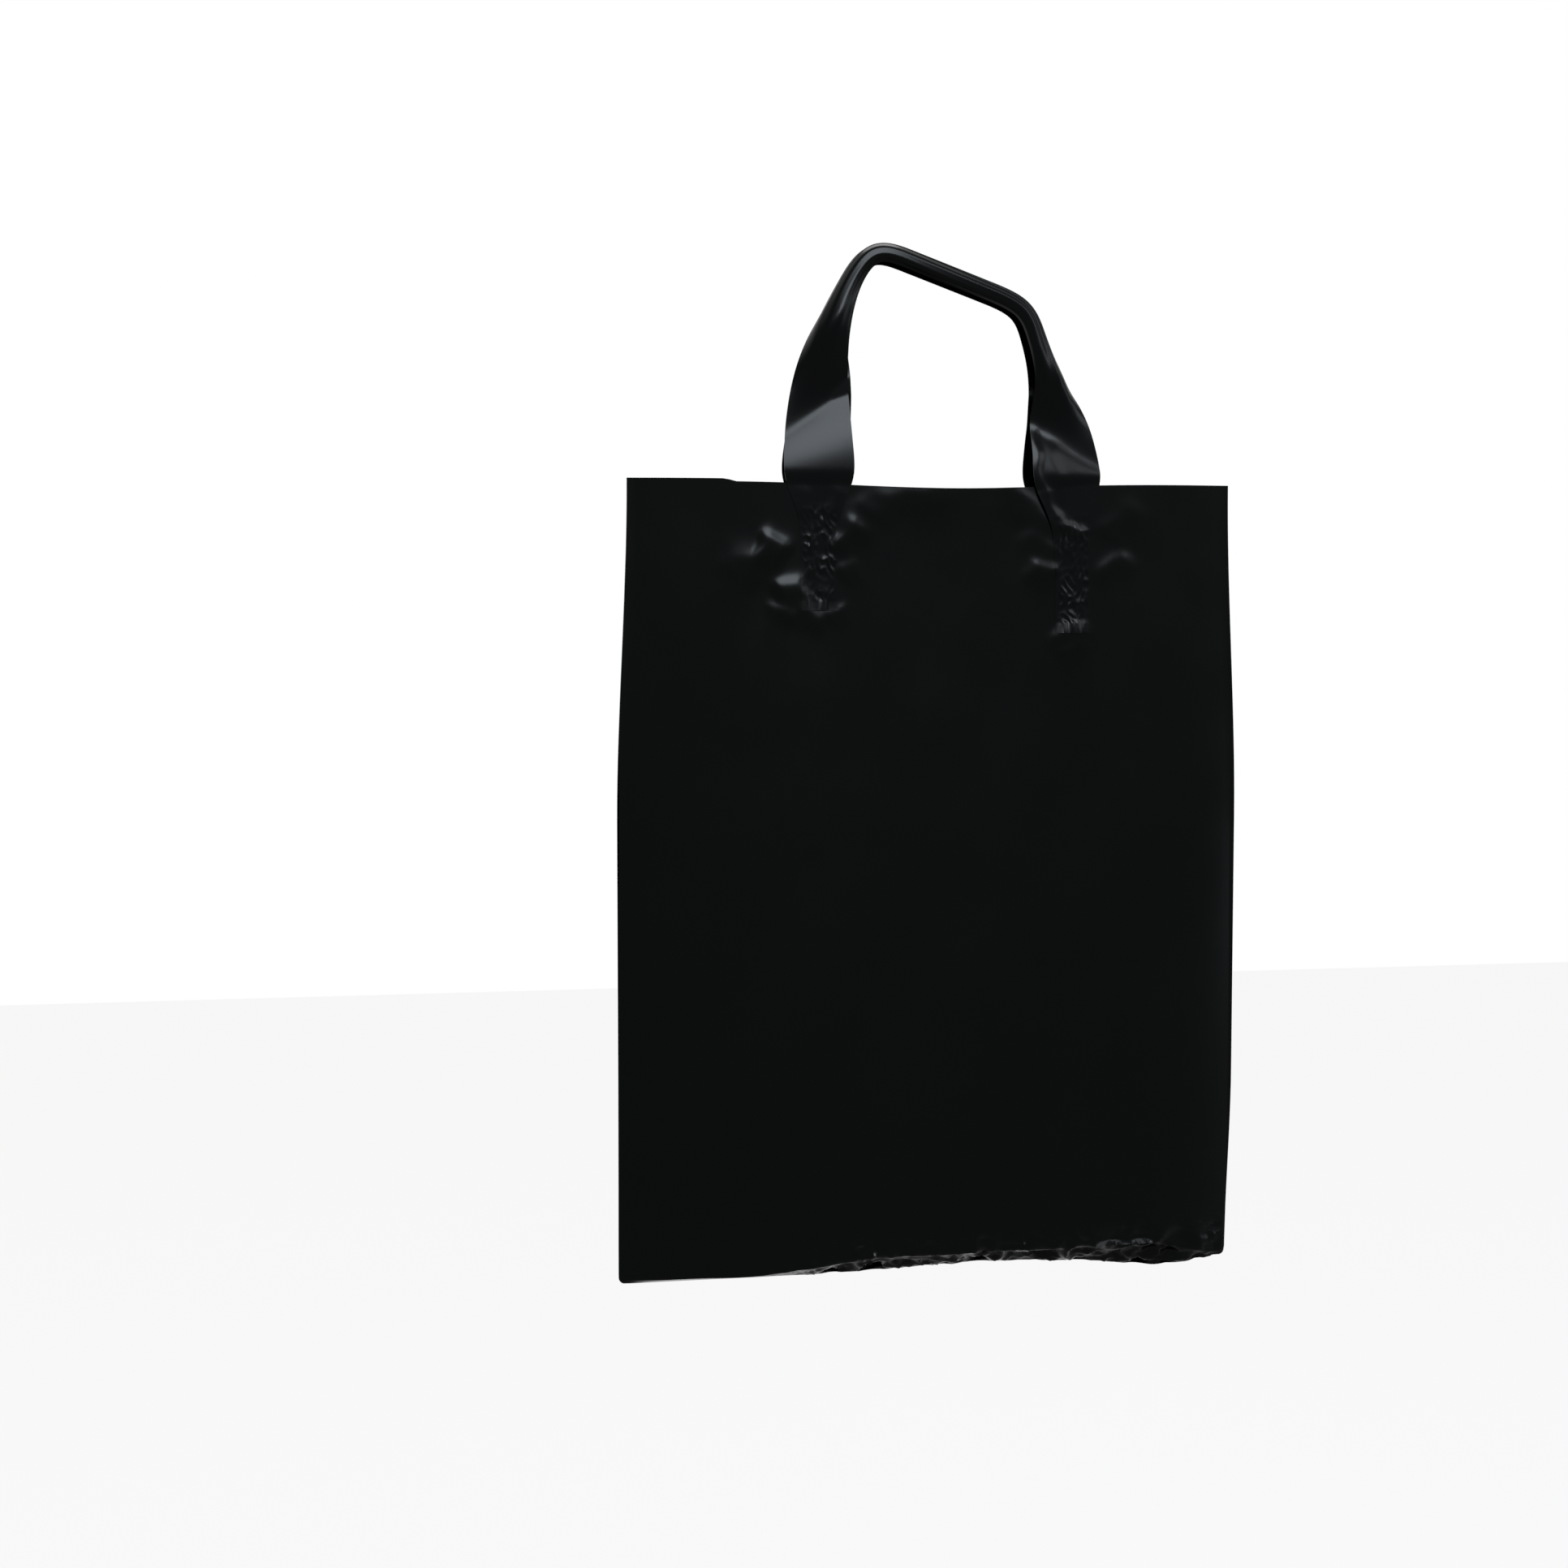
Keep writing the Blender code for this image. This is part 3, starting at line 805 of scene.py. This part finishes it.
def build_world():
    """Grey in front and white behind to background rays, and one soft level to all others."""
    world = bpy.context.scene.world or bpy.data.worlds.new("studio")
    bpy.context.scene.world = world
    world.use_nodes = True
    tree = world.node_tree
    background = tree.nodes["Background"]
    direction = tree.nodes.new("ShaderNodeTexCoord").outputs["Generated"]
    depth = map_range(tree, y_of(tree, direction), (WORLD_GREY_TO_Y, WORLD_WHITE_FROM_Y))
    shown = mix_colours(tree, depth.outputs["Result"], WORLD_GREY, WHITE)
    final = mix_colours(tree, background_rays(tree), AMBIENT, shown)
    tree.links.new(final, background.inputs["Color"])
    background.inputs["Strength"].default_value = 1.0


def soft_light(name, place, target, size, power, colour):
    data = bpy.data.lights.new(name, "AREA")
    data.shape = "RECTANGLE"
    data.size, data.size_y = size
    data.energy = power
    data.color = colour
    lamp = bpy.data.objects.new(name, data)
    lamp.location = place
    lamp.rotation_euler = (Vector(target) - Vector(place)).to_track_quat("-Z", "Y").to_euler()
    bpy.context.scene.collection.objects.link(lamp)


def build_camera():
    data = bpy.data.cameras.new("camera")
    data.lens = CAMERA_LENS
    data.sensor_width = CAMERA_SENSOR
    camera = bpy.data.objects.new("camera", data)
    camera.location = Vector(CAMERA_PLACE) - ORIGIN
    forward = Vector((
        -math.sin(CAMERA_YAW) * math.cos(CAMERA_PITCH),
        math.cos(CAMERA_YAW) * math.cos(CAMERA_PITCH),
        math.sin(CAMERA_PITCH),
    ))
    camera.rotation_euler = forward.to_track_quat("-Z", "Y").to_euler()
    bpy.context.scene.collection.objects.link(camera)
    bpy.context.scene.camera = camera


film = film_material("black_film", BAG_TINT, BAG_ROUGHNESS, BAG_BUMP)
strap = film_material("strap_film", STRAP_TINT, STRAP_ROUGHNESS, STRAP_BUMP)
build_body(film)
build_handle("front_strap", 1, (0.0, 0.0), strap, "front_handle")
build_handle("rear_strap", -1, (REAR_LEFT_SHIFT, REAR_RIGHT_SHIFT), strap, "rear_handle")
build_floor()
build_world()
for lamp in LAMPS:
    soft_light(*lamp)
build_camera()
bpy.context.scene.view_settings.view_transform = "Standard"
